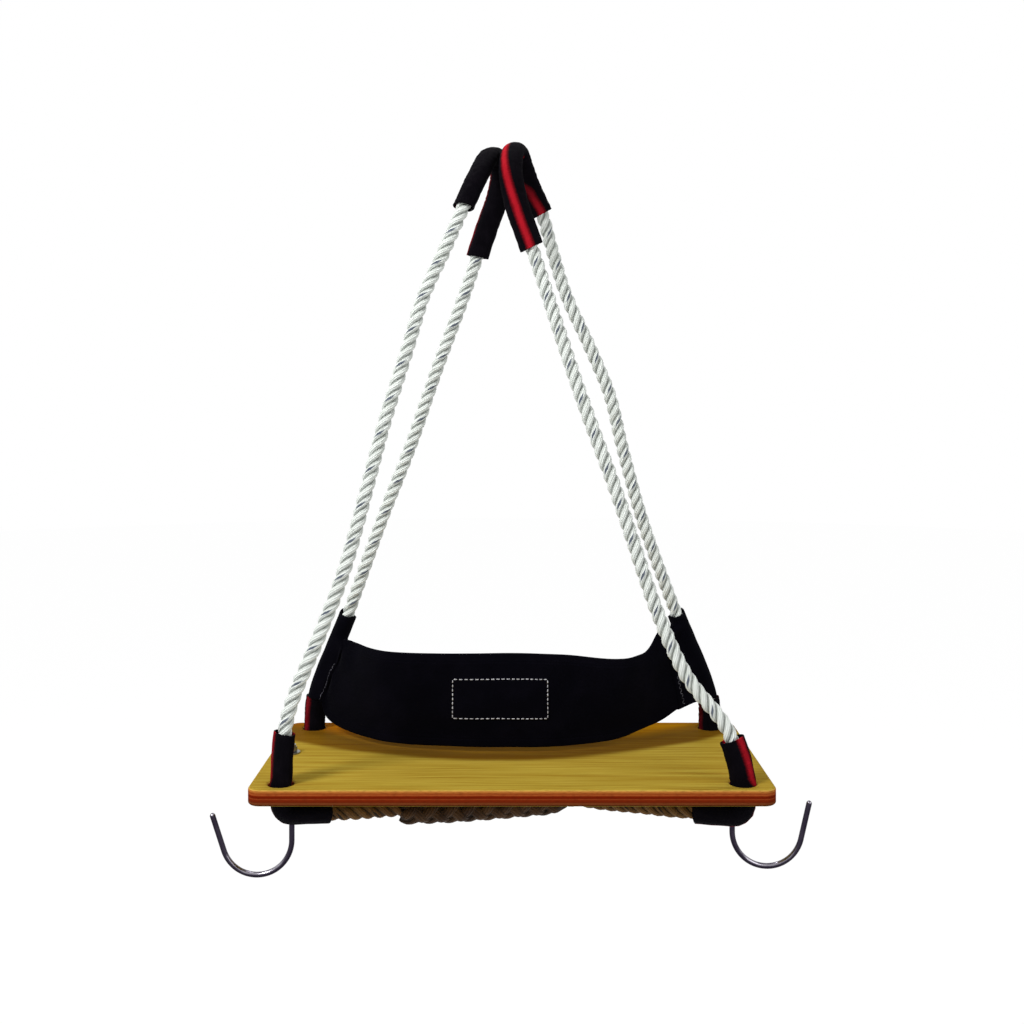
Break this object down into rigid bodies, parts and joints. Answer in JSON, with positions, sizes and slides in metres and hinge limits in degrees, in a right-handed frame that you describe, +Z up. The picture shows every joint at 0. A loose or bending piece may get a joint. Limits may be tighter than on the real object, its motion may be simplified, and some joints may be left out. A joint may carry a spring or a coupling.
{
  "type": "bosun's chair",
  "caption": "Bosun's chair: plywood seat board in a laid rope bridle with webbing chafe sleeves, a canvas back strap and swivelling bucket hooks, hung from one point.",
  "frame": {"origin": "hanging point: under the crowns of the two rope bights, where a shackle or hook takes the chair", "axes": "+Z up, +Y towards the sitter's back (the strap's side), +X to the right in the picture, along the seat board"},
  "size_m": [0.6918, 0.25, 0.8421],
  "materials": {
    "plywood": "varnished",
    "rope": "laid rope of three strands",
    "webbing": "tubular webbing with a red stripe",
    "canvas": "woven canvas with white stitching",
    "hook_steel": "polished",
    "zinc_steel": "zinc plated"
  },
  "bodies": {
    "chair": {"seat_board": "plywood", "rope_left": "rope", "rope_right": "rope", "rope_under": "rope", "rope_under_spliced": "rope", "rope_splice": "rope", "bight_sleeve_left": "webbing", "bight_sleeve_right": "webbing", "hole_sleeve_front_left": "webbing", "hole_sleeve_front_right": "webbing", "hole_sleeve_rear_left": "webbing", "hole_sleeve_rear_right": "webbing", "back_strap": "canvas", "strap_pocket_left": "canvas", "strap_pocket_right": "canvas", "label_patch": "canvas", "top_washer_left": "zinc_steel", "top_washer_right": "zinc_steel", "under_washer_left": "zinc_steel", "under_washer_right": "zinc_steel"},
    "left_hook": {"hook_left": "hook_steel", "lock_nut_left": "zinc_steel", "jam_nut_left": "zinc_steel"},
    "right_hook": {"hook_right": "hook_steel", "lock_nut_right": "zinc_steel", "jam_nut_right": "zinc_steel"}
  },
  "joints": [
    {"name": "left_hook_swivel", "type": "hinge", "parent": "chair", "child": "left_hook", "pos_m": [-0.253, 0, -0.694], "axis": [0, 0, 1], "continuous": true},
    {"name": "right_hook_swivel", "type": "hinge", "parent": "chair", "child": "right_hook", "pos_m": [0.253, 0, -0.694], "axis": [0, 0, 1], "continuous": true}
  ]
}
